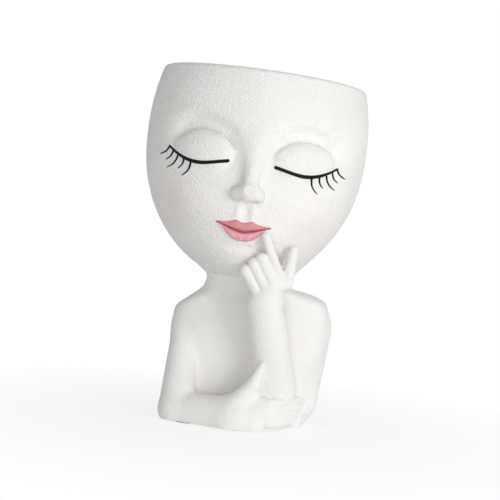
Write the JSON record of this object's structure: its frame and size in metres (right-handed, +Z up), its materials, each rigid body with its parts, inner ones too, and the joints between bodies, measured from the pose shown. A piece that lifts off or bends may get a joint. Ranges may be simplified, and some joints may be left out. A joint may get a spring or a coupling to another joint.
{
  "type": "head planter",
  "caption": "Bald doll-like head on a small bust, chin resting on one hand, hollow and open at the top as a plant pot, with a plugged drain.",
  "frame": {"origin": "middle of the bounding box, on the floor plane", "axes": "+Z up, -Y the way the face looks, +X the viewer's right"},
  "size_m": [0.1312, 0.1299, 0.2084],
  "materials": {
    "casting": "matt stippled cast plaster",
    "lip_paint": "soft brushed paint",
    "lash_paint": "gloss paint",
    "plug": "matt silicone",
    "pads": "matt"
  },
  "bodies": {
    "planter": {"head_bowl": "casting", "bust": "casting", "raised_forearm": "casting", "folded_forearm": "casting", "lips": "lip_paint", "lash_line_right": "lash_paint", "lash_line_left": "lash_paint", "foot_pads": "pads"},
    "plug": {"drain_plug": "plug"}
  },
  "joints": [
    {"name": "plug_pull", "type": "slide", "parent": "planter", "child": "plug", "axis": [0.0523, 0, 0.9986], "range_m": [0, 0.115]}
  ]
}
